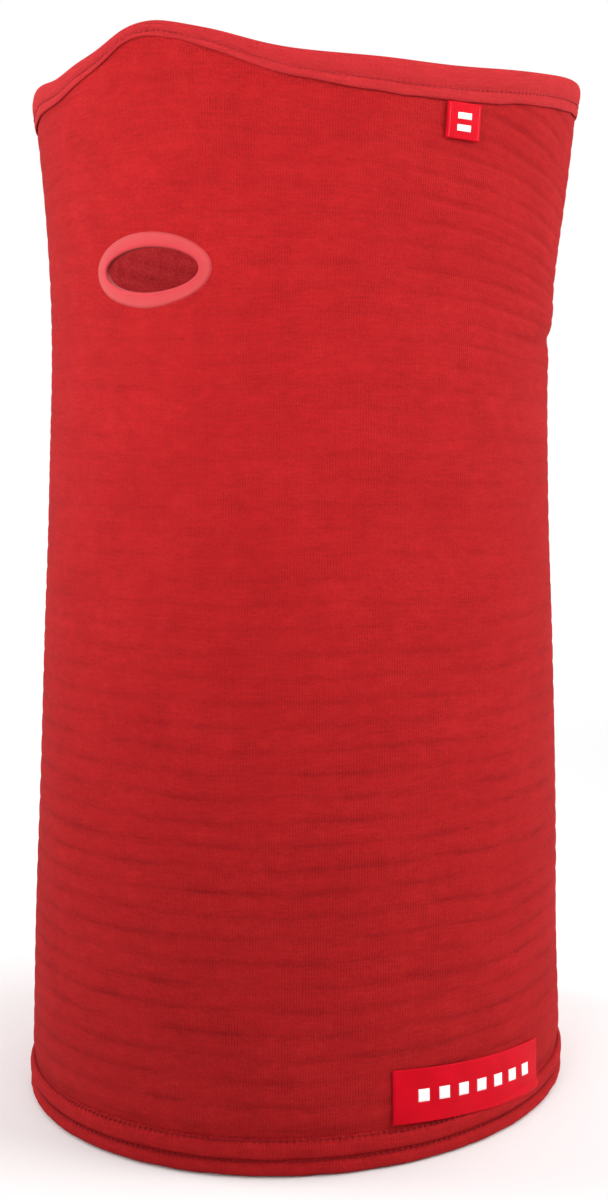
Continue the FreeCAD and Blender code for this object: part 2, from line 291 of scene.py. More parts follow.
class Nodes:
    def __init__(self, name):
        self.mat = bpy.data.materials.new(name)
        self.mat.use_nodes = True
        self.t = self.mat.node_tree
        self.t.nodes.clear()
        self.out = self.t.nodes.new("ShaderNodeOutputMaterial")
        self.bsdf = self.t.nodes.new("ShaderNodeBsdfPrincipled")
        self.t.links.new(self.bsdf.outputs[0], self.out.inputs[0])
        self.coords = None

    def uv(self):
        if self.coords is None:
            n = self.t.nodes.new("ShaderNodeUVMap")
            n.uv_map = "UVMap"
            s = self.t.nodes.new("ShaderNodeSeparateXYZ")
            self.t.links.new(n.outputs[0], s.inputs[0])
            self.vec, self.coords = n.outputs[0], (s.outputs[0], s.outputs[1])
        return self.coords

    def put(self, socket, value):
        if hasattr(value, "is_linked") or hasattr(value, "links"):
            self.t.links.new(value, socket)
        else:
            socket.default_value = value

    def math(self, op, a, b=0.0, c=0.0):
        n = self.t.nodes.new("ShaderNodeMath")
        n.operation = op
        for s, v in zip(n.inputs, (a, b, c)):
            self.put(s, v)
        return n.outputs[0]

    def noise(self, scale, detail=3.0, rough=0.5, stretch=(1, 1, 1), distortion=0.0):
        self.uv()
        m = self.t.nodes.new("ShaderNodeMapping")
        m.inputs["Scale"].default_value = stretch
        self.t.links.new(self.vec, m.inputs[0])
        n = self.t.nodes.new("ShaderNodeTexNoise")
        n.inputs["Scale"].default_value = scale
        n.inputs["Detail"].default_value = detail
        n.inputs["Roughness"].default_value = rough
        n.inputs["Distortion"].default_value = distortion
        self.t.links.new(m.outputs[0], n.inputs["Vector"])
        return n.outputs[0]

    def ramp(self, fac, stops):
        n = self.t.nodes.new("ShaderNodeValToRGB")
        e = n.color_ramp.elements
        while len(e) < len(stops):
            e.new(0.5)
        for el, (p, c) in zip(e, stops):
            el.position, el.color = p, c
        self.put(n.inputs[0], fac)
        return n.outputs[0]

    def mix(self, fac, a, b, mode="MIX"):
        n = self.t.nodes.new("ShaderNodeMix")
        n.data_type = "RGBA"
        n.blend_type = mode
        self.put(n.inputs[0], fac)
        self.put(n.inputs[6], a)
        self.put(n.inputs[7], b)
        return n.outputs[2]

    def value_color(self, v):
        n = self.t.nodes.new("ShaderNodeCombineColor")
        for s in n.inputs[:3]:
            self.put(s, v)
        return n.outputs[0]

    def bump(self, height, strength, distance, normal=None):
        n = self.t.nodes.new("ShaderNodeBump")
        n.inputs["Strength"].default_value = strength
        n.inputs["Distance"].default_value = distance
        self.t.links.new(height, n.inputs["Height"])
        if normal is not None:
            self.t.links.new(normal, n.inputs["Normal"])
        return n.outputs[0]

    def set(self, **kw):
        for k, v in kw.items():
            self.put(self.bsdf.inputs[k.replace("_", " ")], v)


def knit(name, colour, dark, light, wale=WALE, course_mm=0.62, bumpiness=1.0,
         fuzz=0.012, wale_contrast=0.17, mottled=0.08, ridged=True):
    """knitted face: columns of V-shaped loops, with fuzz and uneven dye, and, when ridged, painted shade in the
    grooves between its ridges. UV is in cm.
    """
    m = Nodes(name)
    u, v = m.uv()
    umm = m.math("MULTIPLY", u, 10.0 / wale)
    fu = m.math("FRACT", umm)
    tri = m.math("ABSOLUTE", m.math("SUBTRACT", fu, 0.5))            # 0 in a wale's middle, .5 between
    leg = m.math("MULTIPLY_ADD", v, 10.0 / course_mm, m.math("MULTIPLY", tri, 1.7))
    loop = m.math("SINE", m.math("MULTIPLY", leg, 2 * math.pi))        # along the loops' legs
    column = m.math("COSINE", m.math("MULTIPLY", tri, 2 * math.pi))    # 1 in a wale's middle, -1 between
    furrow = m.math("POWER", m.math("MULTIPLY", tri, 2.0), 4.0)
    h = m.math("MULTIPLY_ADD", loop, 0.20, m.math("MULTIPLY_ADD", column, 0.26, 0.5))
    fine = m.noise(95.0, 3.0, 0.65)
    h = m.math("MULTIPLY_ADD", fine, 0.80, h)
    broad = m.noise(0.45, 3.0, 0.55)
    middle = m.noise(2.4, 4.0, 0.6, (1.0, 1.6, 1.0))
    wear = m.noise(14.0, 3.0, 0.6, (0.6, 1.0, 1.0))
    tone = m.math("MULTIPLY_ADD", broad, 0.30, m.math("MULTIPLY_ADD", middle, 0.35, m.math("MULTIPLY", wear, 0.35)))
    base = m.ramp(tone, [(0.5 - 3.2 * mottled, dark), (0.5, colour), (0.5 + 3.2 * mottled, light)])
    # patches where the columns read more strongly, as in a brushed knit, broken up by loose fibres
    patch = m.math("MULTIPLY_ADD", m.noise(1.1, 2.0, 0.5), 2.0, -0.45)
    patch = m.math("MINIMUM", m.math("MAXIMUM", patch, 0.15), 1.0)
    broken = m.math("MULTIPLY_ADD", m.noise(30.0, 2.0, 0.7, (1.0, 0.5, 1.0), 0.3), 3.2, -1.1)
    broken = m.math("MINIMUM", m.math("MAXIMUM", broken, 0.0), 1.0)
    shade = m.math("MULTIPLY", m.math("MULTIPLY", furrow, broken), m.math("MULTIPLY", patch, wale_contrast * 4.2))
    shade = m.math("ADD", shade, m.math("MULTIPLY", m.math("MULTIPLY_ADD", loop, -0.5, 0.5), wale_contrast * 0.25))
    shade = m.math("ADD", shade, m.math("MULTIPLY", m.math("SUBTRACT", fine, 0.5), 1.05))
    mottle = m.noise(21.0, 2.0, 0.7, (1.0, 0.8, 1.0), 0.3)
    shade = m.math("ADD", shade, m.math("MULTIPLY", m.math("SUBTRACT", mottle, 0.5), 0.50))
    # short level streaks where a course lies tighter
    streak = m.noise(1.3, 3.0, 0.62, (1.0, 11.0, 1.0), 0.2)
    shade = m.math("ADD", shade, m.math("MULTIPLY", m.math("SUBTRACT", streak, 0.5), 0.42))
    keep = m.math("SUBTRACT", 1.0, shade)
    if ridged:
        # the grooves between the ridges are darkened: painted shade in the grooves, where the cloth is also thinner;
        # the painted shade is stronger lower down
        rs = m.math("ABSOLUTE", m.math("SINE", m.math("MULTIPLY", v, 10.0 / RIDGE * math.pi)))
        groove_shade = m.math("POWER", m.math("SUBTRACT", 1.0, rs), 1.4)
        uneven = m.math("MULTIPLY_ADD", m.noise(0.8, 3.0, 0.6, (0.5, 1.8, 1.0)), 2.4, -0.75)
        uneven = m.math("MINIMUM", m.math("MAXIMUM", uneven, 0.0), 1.0)
        groove_shade_lower = m.math("MINIMUM", m.math("MAXIMUM", m.math("MULTIPLY_ADD", v, -0.10, 2.05), 0.35), 1.0)
        groove_shade = m.math("MULTIPLY", m.math("MULTIPLY", groove_shade, uneven), m.math("MULTIPLY", groove_shade_lower, 0.29))
        keep = m.math("SUBTRACT", keep, groove_shade)
    base = m.mix(1.0, base, m.value_color(keep), "MULTIPLY")
    # scattered lighter fibre ends
    fibre = m.noise(60.0, 2.0, 0.8, (1.0, 0.35, 1.0), 0.6)
    speck = m.ramp(fibre, [(0.62, (0, 0, 0, 1)), (0.74, (1, 1, 1, 1))])
    base = m.mix(m.math("MULTIPLY", speck, 0.14), base, light)
    m.set(Base_Color=base, Roughness=m.math("MULTIPLY_ADD", fine, 0.16, 0.78))
    b = m.bump(h, 0.62 * bumpiness, 0.00028)
    b = m.bump(wear, 0.35, 0.0006, b)
    m.set(Normal=b)
    m.set(Specular_IOR_Level=0.05, Sheen_Weight=fuzz, Sheen_Roughness=0.42)
    m.bsdf.inputs["Sheen Tint"].default_value = light
    return m.mat


RED = lin(159, 26, 28)
RED_DARK = lin(144, 21, 24)
RED_LIGHT = lin(176, 35, 37)

fleece = knit("grid_fleece_face", RED, RED_DARK, RED_LIGHT)
hem_cloth = knit("grid_fleece_hem", lin(160, 26, 29), lin(143, 21, 24), lin(177, 35, 37), wale_contrast=0.10, ridged=False)


def fleece_back():
    m = Nodes("grid_fleece_back")
    u, v = m.uv()
    nap = m.noise(55.0, 5.0, 0.72)
    clump = m.noise(9.0, 4.0, 0.6)
    tone = m.math("MULTIPLY_ADD", nap, 0.5, m.math("MULTIPLY", clump, 0.5))
    base = m.ramp(tone, [(0.34, lin(150, 28, 33)), (0.5, lin(186, 42, 46)), (0.68, lin(212, 66, 68))])
    m.set(Base_Color=base, Roughness=0.92)
    m.set(Normal=m.bump(tone, 0.8, 0.0007))
    m.set(Specular_IOR_Level=0.12, Sheen_Weight=0.15, Sheen_Roughness=0.5)
    m.bsdf.inputs["Sheen Tint"].default_value = lin(232, 90, 90)
    return m.mat


back_cloth = fleece_back()
binding_cloth = knit("binding_jersey", lin(172, 40, 43), lin(160, 33, 36), lin(186, 52, 55),
                     wale=0.42, course_mm=0.38, bumpiness=0.9, fuzz=0.06, wale_contrast=0.10, mottled=0.20, ridged=False)


def tape():
    m = Nodes("bonded_tape")
    u, v = m.uv()
    weave = m.math("MULTIPLY", m.math("SINE", m.math("MULTIPLY", u, 2 * math.pi * 22.0)),
                   m.math("SINE", m.math("MULTIPLY", v, 2 * math.pi * 22.0)))
    film = m.noise(6.0, 3.0, 0.55)
    fine = m.noise(90.0, 3.0, 0.6)
    # v runs across the ring: 0 at the hole's rim, 1 at the outer edge; the ramp's darker ends are painted shade where
    # the tape turns over at the hole's rim and at its outer edge
    rim = m.ramp(v, [(0.0, lin(162, 38, 43)), (0.14, lin(177, 38, 45)), (0.40, lin(174, 46, 51)),
                     (0.80, lin(171, 52, 54)), (1.0, lin(158, 38, 41))])
    tone = m.mix(m.math("MULTIPLY", film, 0.25), rim, lin(166, 42, 45))
    base = m.mix(m.math("MULTIPLY", fine, 0.12), tone, lin(148, 31, 34))
    m.set(Base_Color=base, Roughness=m.math("MULTIPLY_ADD", film, 0.15, 0.46))
    m.set(Normal=m.bump(m.math("MULTIPLY_ADD", weave, 0.35, fine), 0.35, 0.00012))
    m.set(Specular_IOR_Level=0.22, Sheen_Weight=0.05, Sheen_Roughness=0.5)
    return m.mat


tape_cloth = tape()


def thread(name, colour, light):
    m = Nodes(name)
    u, v = m.uv()
    ply = m.math("SINE", m.math("MULTIPLY", m.math("MULTIPLY_ADD", u, 3.0, m.math("MULTIPLY", v, 2.0)), 2 * math.pi))
    fuzz = m.noise(30.0, 3.0, 0.6)
    fac = m.math("MULTIPLY_ADD", ply, 0.28, m.math("MULTIPLY_ADD", fuzz, 0.6, 0.2))
    base = m.ramp(fac, [(0.15, tuple(c * 0.62 for c in colour[:3]) + (1.0,)), (0.55, colour), (0.95, light)])
    m.set(Base_Color=base, Roughness=0.62)
    m.set(Normal=m.bump(fac, 0.5, 0.00008))
    m.set(Specular_IOR_Level=0.10)
    return m.mat


# the needle thread is darker than the cloth and the other threads: painted shade along the sunken hem stitch rows
needle_thread = thread("needle_thread", lin(122, 19, 24), lin(162, 38, 43))
binding_thread = thread("binding_thread", lin(150, 33, 37), lin(178, 48, 52))
looper_thread = thread("looper_thread", lin(150, 28, 33), lin(188, 56, 60))


def satin(name, colour, dark, light, rough=0.50):
    """woven satin: fine crosswise floats. UV is in mm."""
    m = Nodes(name)
    u, v = m.uv()
    weft = m.math("SINE", m.math("MULTIPLY", v, 2 * math.pi * 4.6))
    warp = m.math("SINE", m.math("MULTIPLY", u, 2 * math.pi * 3.2))
    step = m.math("SINE", m.math("MULTIPLY", m.math("MULTIPLY_ADD", u, 0.8, v), 2 * math.pi * 1.15))
    fine = m.noise(4.0, 3.0, 0.6)
    broad = m.noise(0.12, 3.0, 0.5)
    tone = m.math("MULTIPLY_ADD", weft, 0.09, m.math("MULTIPLY_ADD", step, 0.05,
                  m.math("MULTIPLY_ADD", fine, 0.35, m.math("MULTIPLY", broad, 0.65))))
    base = m.ramp(tone, [(0.30, dark), (0.50, colour), (0.72, light)])
    m.set(Base_Color=base, Roughness=m.math("MULTIPLY_ADD", fine, 0.18, rough - 0.09))
    m.set(Normal=m.bump(m.math("MULTIPLY_ADD", warp, 0.3, m.math("MULTIPLY_ADD", weft, 0.5, fine)), 0.35, 0.00010))
    m.set(Specular_IOR_Level=0.04)
    return m.mat


label_red = satin("label_satin_red", lin(185, 2, 24), lin(172, 1, 19), lin(198, 5, 31))
label_edge = satin("label_selvedge", lin(212, 60, 74), lin(190, 30, 46), lin(236, 110, 118))
label_white = satin("label_figure_white", lin(244, 238, 238), lin(222, 206, 208), lin(252, 250, 250))
care_white = satin("care_satin_white", lin(236, 235, 231), lin(216, 214, 210), lin(248, 247, 244), 0.42)
care_line = satin("care_hem_grey", lin(176, 176, 178), lin(150, 150, 152), lin(200, 200, 202), 0.5)


def only(ob, *mats):
    ob.data.materials.clear()
    for x in mats:
        ob.data.materials.append(x)
    return ob


# ------------------------------------------------------------- panel
COLS = 600
ROWS = 380
IN_ROWS = 190
deg = np.linspace(-180.0, 180.0, COLS, endpoint=False)
Z0 = ROW_HIGH - 0.25
zt = z_top(deg) - 2.1


def outer_offset(D, Z):
    off = dent(D, Z) + ridges(D, Z) * smooth(11.0, 16.0, Z)
    off = off - 0.50 * np.exp(-np.maximum(Z - Z0, 0) / 0.9) - 0.85 * np.exp(-(np.maximum(Z - Z0, 0) / 2.9) ** 2)
    # the binding grips the top of the panel
    grip = z_top(D) - depth(D)
    off = off - 0.12 * np.exp(-((Z - grip) / 1.6) ** 2) * smooth(-2.2, 0.4, grip - Z + 0.4)
    # round the breathing hole, under the tape, the panel's dents and ridges fade out
    X = SIDE_SIDE * radius(Z) * np.sin(np.radians(D))
    lev = np.where(np.abs((D + 180) % 360 - 180) < 60, oval_level(X, Z, RING), 9.0)
    off = np.where(lev < 4.0, off * smooth(0.85, 3.0, lev) + 0.0, off)
    # seam at the nape
    s = arc(((D % 360.0) - 180.0))
    return off + 0.30 * np.exp(-(s / 2.2) ** 2) - 0.35 * np.exp(-(s / 0.5) ** 2)


def nap(D, Z):
    """inside: a grid of small raised pillows"""
    n_around = 78
    px = D / 360.0 * n_around
    py = course(D, Z) / RIDGE
    pill = (np.abs(np.sin(math.pi * px)) * np.abs(np.sin(math.pi * (py + 0.5)))) ** 0.55
    return pill * (0.75 + 0.15 * wave_noise(D, Z, 30.0, 31, 3))


T = np.linspace(0, 1, ROWS)[:, None]
Zo = Z0 + (zt[None, :] - Z0) * T
Do = np.broadcast_to(deg[None, :], Zo.shape)
Oo = outer_offset(Do, Zo)
outer = place(Do, Zo, Oo)

Ti = np.linspace(0, 1, IN_ROWS)[:, None]
ZI0 = 12.0
Zi = ZI0 + (zt[None, :] - 0.25 - ZI0) * Ti
Di = np.broadcast_to(deg[None, :], Zi.shape)
Oi = np.minimum(outer_offset(Di, Zi), 0.3) * 0.5 - (WALL - 0.45) - nap(Di, Zi) * smooth(0, 2.5, z_top(Di) - depth(Di) - Zi)
inner = place(Di, Zi, Oi)

fo = grid_faces(ROWS, COLS)
fi = grid_faces(IN_ROWS, COLS, flip=True)
W = arc(360.0) / 10
uo = (arc(Do) / 10).ravel()
vo = (course(Do, Zo) / 10).ravel()
ui = (arc(Di) / 10).ravel()
vi = (course(Di, Zi) / 10).ravel()


def keep_outside(F, D, Z, half):
    X = (SIDE_SIDE * radius(Z) * np.sin(np.radians(D))).ravel()[F].mean(1)
    zz = Z.ravel()[F].mean(1)
    dd = np.abs((D.ravel()[F] + 180) % 360 - 180).min(1)
    return F[~((oval_level(X, zz, half) < 1) & (dd < 60))]


fo = keep_outside(fo, Do, Zo, (17.0, 8.0))
fi = keep_outside(fi, Di, Zi, (16.9, 7.8))
parts = [(outer.reshape(-1, 3), fo, corner_uv(fo, uo, vo, COLS, W)),
         (inner.reshape(-1, 3), fi, corner_uv(fi, ui, vi, COLS, W))]
pts, fcs, uvs = join_parts(parts)
n_out = len(fo)
# close the cloth's two raw edges, hidden under the binding and in the hem
c = np.arange(COLS)
c1 = (c + 1) % COLS
top_o, top_i = (ROWS - 1) * COLS, ROWS * COLS + (IN_ROWS - 1) * COLS
edge_top = np.stack([top_o + c, top_o + c1, top_i + c1, top_i + c], 1)
low_i = ROWS * COLS
edge_low = np.stack([c1, c, low_i + c, low_i + c1], 1)
extra = np.concatenate([edge_top, edge_low])
allu = np.concatenate([uo, ui])
allv = np.concatenate([vo, vi])
uvs = np.concatenate([uvs, corner_uv(extra, allu, allv, COLS, W).reshape(-1, 2)])
fcs = np.concatenate([fcs, extra])
cloth = new_mesh("gaiter_cloth", pts, fcs, uvs)
only(cloth, fleece, back_cloth)
idx = np.zeros(len(cloth.data.polygons), np.int32)
idx[n_out:n_out + len(fi)] = 1
cloth.data.polygons.foreach_set("material_index", idx)

# ------------------------------------------------------------- turned hem
HC = 1440
hd = np.linspace(-180.0, 180.0, HC, endpoint=False)
hem_len = arc(360.0)
n_st = int(round(hem_len / STITCH))


def row_pull(D, phase):
    """1 at a needle hole, 0 between"""
    return 0.5 + 0.5 * np.cos(2 * math.pi * (D / 360.0 * n_st + phase))


# profile (height, offset) from the upper stitch row down, under and up inside
prof_o = [(10.75, -0.95, 0), (10.45, -0.80, 0), (10.2, -0.55, 1), (9.95, -0.12, 1), (9.6, 0.30, .6), (9.1, 0.60, .2),
          (8.4, 0.74, 0), (7.5, 0.82, 0), (6.6, 0.74, 0), (5.9, 0.50, .1), (5.4, 0.12, .5), (5.0, -0.40, 1),
          (4.6, -0.72, 1), (4.25, -0.55, 1), (3.85, -0.10, .5), (3.35, 0.26, .1), (2.6, 0.48, 0), (1.8, 0.50, 0),
          (1.1, 0.24, 0), (0.5, -0.22, 0), (0.14, -0.85, 0), (0.0, -1.55, 0), (0.14, -2.25, 0), (0.6, -2.8, 0),
          (1.4, -3.15, 0), (2.6, -3.32, 0), (4.6, -3.30, 0), (6.6, -3.42, 0), (8.6, -3.42, 0), (10.2, -3.30, 0),
          (11.6, -3.38, 0), (12.6, -3.25, 0), (13.1, -2.85, 0), (13.2, -2.3, 0), (13.0, -1.9, 0)]
hz = np.array([p[0] for p in prof_o])[:, None]
ho = np.array([p[1] for p in prof_o])[:, None]
hp = np.array([p[2] for p in prof_o])[:, None]
k = np.arange(len(prof_o))[:, None]
HD = np.broadcast_to(hd[None, :], (len(prof_o), HC))
pull_hi = row_pull(HD, 0.0)
pull_lo = row_pull(HD, 0.37)
near_hi = np.exp(-((hz - ROW_HIGH) / 0.75) ** 2) * (k < 12)
near_lo = np.exp(-((hz - ROW_LOW) / 0.75) ** 2) * (k < 20)
HO = ho - 0.32 * hp * (pull_hi * near_hi + pull_lo * near_lo)
HO = HO + (k < 21) * 0.10 * wave_noise(HD, hz * 2, 16.0, 41, 3)
# heights wobble a little, and the upper row's needle holes pucker the cloth next to them
HZ = hz + 0.10 * wave_noise(HD, 0 * hz, 70.0, 43, 3) * (hz > 2) + (k < 12) * near_hi * 0.30 * (0.5 - pull_hi)
hem_pts = place(HD, HZ, HO + 0.4 * dent(HD, HZ))
hem_pts[..., 2] = np.maximum(hem_pts[..., 2], 0.0)
hf = grid_faces(len(prof_o), HC, flip=True)
run = np.concatenate([[0], np.cumsum(np.hypot(np.diff(hz[:, 0]), np.diff(ho[:, 0])))])
hu = (arc(HD) / 10).ravel()
hv = np.broadcast_to(((10.7 - run) / 10)[:, None], HD.shape).ravel()
hem = new_mesh("turned_hem", hem_pts.reshape(-1, 3), hf, corner_uv(hf, hu, hv, HC, W))
only(hem, hem_cloth, back_cloth)
idx = np.zeros(len(hem.data.polygons), np.int32)
idx[24 * HC:] = 1
hem.data.polygons.foreach_set("material_index", idx)

# ------------------------------------------------------------- binding
BC = 1440
bd = np.linspace(-180.0, 180.0, BC, endpoint=False)
G = 0.12
# cross section of the folded binding: (share of depth below the top, mm below the top, offset, stitch pull)
sec = [
    (1.0, 0.00, 0.10, 0), (1.0, 0.05, 0.62, 0), (0.97, 0.0, 0.92, 0), (0.90, 0, 1.06, 0), (0.82, 0, 1.04, .1),
    (0.75, 0, 0.92, .5), (0.69, 0, 0.78, 1), (0.66, 0, 0.72, 1), (0.63, 0, 0.78, 1), (0.57, 0, 0.96, .4),
    (0.48, 0, 1.16, 0), (0.38, 0, 1.26, 0), (0.28, 0, 1.26, 0), (0.18, 0.12, 1.14, 0), (0.08, 0.18, 0.86, 0),
    (0.02, 0.12, 0.42, 0), (0.0, 0.0, -0.20, 0), (0.0, -0.06, -0.80, 0), (0.0, 0.0, -1.40, 0), (0.02, 0.12, -2.00, 0),
    (0.08, 0.18, -2.44, 0), (0.20, 0.1, -2.70, 0), (0.36, 0, -2.78, 0), (0.52, 0, -2.66, 0), (0.63, 0, -2.42, .6),
    (0.69, 0, -2.42, .6), (0.80, 0, -2.56, 0), (0.92, 0, -2.56, 0), (1.0, 0, -2.30, 0), (1.0, 0.05, -1.75, 0),
    (0.80, 0, -1.72, 0), (0.45, 0, -1.72, 0), (0.0, 1.3, -1.55, 0), (0.0, 1.0, -0.80, 0), (0.0, 1.3, 0.02, 0),
    (0.45, 0, 0.12, 0), (0.80, 0, 0.12, 0)]
sh = np.array([s[0] for s in sec])[:, None]
sm = np.array([s[1] for s in sec])[:, None]
so = np.array([s[2] for s in sec])[:, None]
sp = np.array([s[3] for s in sec])[:, None]
BD = np.broadcast_to(bd[None, :], (len(sec), BC))
dep = depth(BD)
lay = np.where((so < 0.2) & (so > -1.9) & (sm > 0.9), 0.0, 1.0)
thin = 0.78 + 0.22 * smooth(3.9, 9.0, dep)
kk = np.arange(len(sec))[:, None]
front = (kk > 1) & (kk < 15)
BO = so * np.where(so > 0.2, thin * np.where(kk < 4, 0.50, 0.60), 1.0)
n_bs = int(round(arc(360.0) / STITCH))
bpull = 0.5 + 0.5 * np.cos(2 * math.pi * (BD / 360.0 * n_bs))
BO = BO - sp * 0.16 * bpull * np.where(so > 0, 1, -1)
BO = BO + front * 0.10 * wave_noise(BD, -sh * 8, 26.0, 51, 3)
BZ = z_top(BD) - sh * dep - sm + (kk < 3) * 0.16 * wave_noise(BD, 0 * sh, 34.0, 53, 3)
BZ = BZ + np.where((sh < 0.3), 0.08, 0.0) * wave_noise(BD, 0 * sh, 60.0, 57, 2)
bind_pts = place(BD, BZ, BO)
bf = grid_faces(len(sec), BC, wrap_rows=True, flip=False)
runb = np.concatenate([[0], np.cumsum(np.abs(np.diff(sh[:, 0] * 9.0 + sm[:, 0])) + 0.6 * np.abs(np.diff(so[:, 0])))])
bu = (arc(BD) / 10).ravel()
bv = np.broadcast_to((runb / 10)[:, None], BD.shape).ravel()
binding = new_mesh("edge_binding", bind_pts.reshape(-1, 3), bf, corner_uv(bf, bu, bv, BC, W))
only(binding, binding_cloth)

# ------------------------------------------------------------- breathing hole ring
RN = 192


def ring_outline(theta, half):
    cth, sth = np.cos(theta), np.sin(theta)
    x = half[0] * np.sign(cth) * np.abs(cth) ** (2 / HOLE_POWER[0])
    z = half[1] * np.sign(sth) * np.abs(sth) ** (2 / HOLE_POWER[1])
    return x, z


th = np.linspace(0, 2 * math.pi, RN, endpoint=False)
# even spacing along the outline
fx, fz = ring_outline(np.linspace(0, 2 * math.pi, 4001), RING)
fl = np.concatenate([[0], np.cumsum(np.hypot(np.diff(fx), np.diff(fz)))])
th = np.interp(np.linspace(0, fl[-1], RN, endpoint=False), fl, np.linspace(0, 2 * math.pi, 4001))
# across the ring: (share from rim to outer edge, offset)
rows = [(1.05, -0.12), (1.0, 0.06), (0.96, 0.20), (0.90, 0.27), (0.75, 0.31), (0.55, 0.32), (0.35, 0.31),
        (0.18, 0.29), (0.06, 0.22), (0.0, 0.04), (-0.02, -0.2), (-0.02, -0.75), (-0.02, -1.3), (0.0, -1.75),
        (0.07, -2.02), (0.3, -2.1), (0.6, -2.1), (0.8, -2.04), (0.86, -1.86), (0.86, -1.5)]
rp, ru, rv = [], [], []
for share, off in rows:
    x0, z0 = ring_outline(th, HOLE)
    x1, z1 = ring_outline(th, RING)
    wob = 1.0 + 0.02 * np.sin(3 * th + 1.0) + 0.012 * np.sin(7 * th)
    s = share * (wob if share > 0.3 else 1.0)
    x, z = x0 + (x1 - x0) * s, z0 + (z1 - z0) * s
    rp.append(front_point(x, HOLE_Z + z, off + 0.03 * np.sin(5 * th + 2 * share)))
    ru.append(th / (2 * math.pi) * fl[-1] / 10)
    rv.append(np.full(RN, max(0.0, min(1.0, share))))
rp = np.concatenate(rp)
rf = grid_faces(len(rows), RN)
ring_wrap = fl[-1] / 10
ring = new_mesh("hole_ring", rp, rf, corner_uv(rf, np.concatenate(ru), np.concatenate(rv), RN, ring_wrap))
only(ring, tape_cloth)

# ------------------------------------------------------------- threads


def beads(name, centres, along, up, length, width, height, mat, sides=8, rings=7):
    """stitches: rounded grains, one at each centre"""
    n = len(centres)
    across = np.cross(up, along)
    across /= np.linalg.norm(across, axis=1, keepdims=True)
    tt = np.linspace(-1, 1, rings)
    rad = np.sqrt(np.clip(1 - np.abs(tt) ** 2.4, 0.02, 1))
    ph = np.linspace(0, 2 * math.pi, sides, endpoint=False)
    P = np.zeros((n, rings, sides, 3))
    for i in range(rings):
        for j in range(sides):
            P[:, i, j] = (centres + along * (length / 2 * tt[i])
                          + across * (width / 2 * rad[i] * math.cos(ph[j]))
                          + up * (height / 2 * rad[i] * math.sin(ph[j]) - height * 0.35 * tt[i] ** 2))
    f = grid_faces(rings, sides)
    F = (f[None] + (np.arange(n) * rings * sides)[:, None, None]).reshape(-1, 4)
    base = (np.arange(n) * rings * sides)[:, None]
    lo = base + np.array([[0, 1, 2, 3]]) * 0
    caps = []
    for b in (0, (rings - 1) * sides):
        r = b + np.arange(sides)
        for q in range(1, sides - 2, 2):
            quad = [r[0], r[q], r[q + 1], r[q + 2]]
            caps.append(base + np.array([quad if b else quad[::-1]]))
    F = np.concatenate([F] + caps)
    U = np.broadcast_to((tt * 0.5 * 3)[None, :, None], (n, rings, sides)).ravel()
    V = np.broadcast_to((ph / (2 * math.pi))[None, None, :], (n, rings, sides)).ravel()
    ob = new_mesh(name, P.reshape(-1, 3), F, np.stack([U[F], V[F]], -1))
    return only(ob, mat)


def strand(name, points, up, radius_m, mat, closed, sides=6, flat=0.7):
    """one thread along points; up is the cloth's outward direction at each"""
    nxt = np.roll(points, -1, 0) - np.roll(points, 1, 0)
    if not closed:
        nxt[0] = points[1] - points[0]
        nxt[-1] = points[-1] - points[-2]
    nxt /= np.linalg.norm(nxt, axis=1, keepdims=True)
    across = np.cross(up, nxt)
    across /= np.linalg.norm(across, axis=1, keepdims=True)
    lift = np.cross(nxt, across)
    ph = np.linspace(0, 2 * math.pi, sides, endpoint=False)
    P = (points[:, None] + across[:, None] * (radius_m * np.cos(ph))[None, :, None]
         + lift[:, None] * (radius_m * flat * np.sin(ph))[None, :, None])
    f = grid_faces(len(points), sides, wrap_cols=True, wrap_rows=closed)
    ln = np.concatenate([[0], np.cumsum(np.linalg.norm(np.diff(points, axis=0), axis=1))]) * 1000
    U = np.broadcast_to(ln[:, None], (len(points), sides)).ravel()
    V = np.broadcast_to(np.arange(sides)[None] / sides, (len(points), sides)).ravel()
    ob = new_mesh(name, P.reshape(-1, 3), f, np.stack([U[f], V[f]], -1))
    return only(ob, mat)


def ring_row(count, phase, z_of, off_of):
    d = (np.arange(count) + phase) / count * 360.0 - 180.0
    z = z_of(d)
    p = place(d, z, off_of(d))
    q = place(d + 0.05, z_of(d + 0.05), off_of(d))
    t = q - p
    t /= np.linalg.norm(t, axis=1, keepdims=True)
    return d, p, t, outward(d, z)


lab0, lab1 = 50.8, 90.2


def on_label(d):
    return smooth(lab0 - 0.9, lab0 - 0.3, d) * smooth(lab1 + 0.9, lab1 + 0.3, d)


HEM_DENT = 0.4
_, p, t, n = ring_row(n_st, 0.5, lambda d: ROW_HIGH + 0.0 * d,
                      lambda d: -0.24 + HEM_DENT * dent(d, ROW_HIGH + 0 * d) + 0.62 * on_label(d))
jig = rng.normal(0, 0.05, len(p))[:, None]
t2 = t + np.array([0, 0, 1.0]) * (0.10 + jig)
t2 /= np.linalg.norm(t2, axis=1, keepdims=True)
stitch_hi = beads("hem_stitches_upper", p, t2, n, 1.32 * MM, 0.44 * MM, 0.40 * MM, needle_thread)
_, p, t, n = ring_row(n_st, 0.13, lambda d: ROW_LOW + 0.0 * d,
                      lambda d: -0.14 + HEM_DENT * dent(d, ROW_LOW + 0 * d))
jig = rng.normal(0, 0.05, len(p))[:, None]
t2 = t + np.array([0, 0, 1.0]) * (0.08 + jig)
t2 /= np.linalg.norm(t2, axis=1, keepdims=True)
stitch_lo = beads("hem_stitches_lower", p, t2, n, 1.32 * MM, 0.44 * MM, 0.40 * MM, needle_thread)


def z_row(d):
    return z_top(d) - 0.66 * depth(d)


_, p, t, n = ring_row(n_bs, 0.5, z_row, lambda d: 0.53 * (0.78 + 0.22 * smooth(3.9, 9.0, depth(d))) + 0.05)
stitch_bind = beads("binding_stitches", p, t, n, 1.30 * MM, 0.40 * MM, 0.30 * MM, binding_thread)

# loopers: zigzag covers on the inside
per = 8


